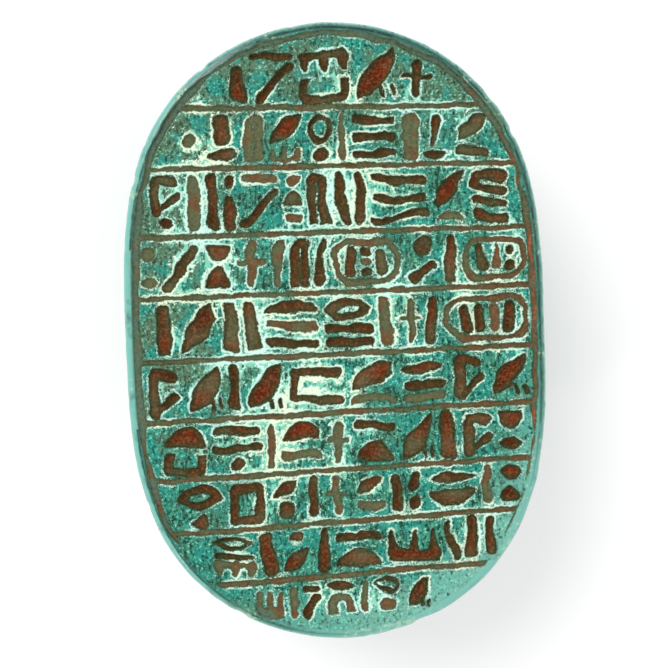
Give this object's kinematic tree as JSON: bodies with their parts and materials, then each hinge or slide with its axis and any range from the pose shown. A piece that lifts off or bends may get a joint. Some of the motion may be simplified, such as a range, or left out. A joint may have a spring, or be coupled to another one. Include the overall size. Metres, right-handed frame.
{
  "type": "scarab amulet",
  "caption": "Large glazed stone scarab lying on its back: oval plinth with rows of shallow strokes between ruled lines, and a beetle carved in the round below.",
  "frame": {"origin": "on the surface that the amulet lies on, below the middle of the plinth", "axes": "+Z out of the inscribed face, +Y towards the beetle's head, +X to the right as the inscribed face is read"},
  "size_m": [0.0558, 0.082, 0.034],
  "materials": {
    "glazed_stone": "worn blue-green glaze on stone, glossy at the edges, with brown-red earth left in the cuts"
  },
  "bodies": {
    "root": {"scarab_amulet": "glazed_stone"}
  },
  "joints": []
}
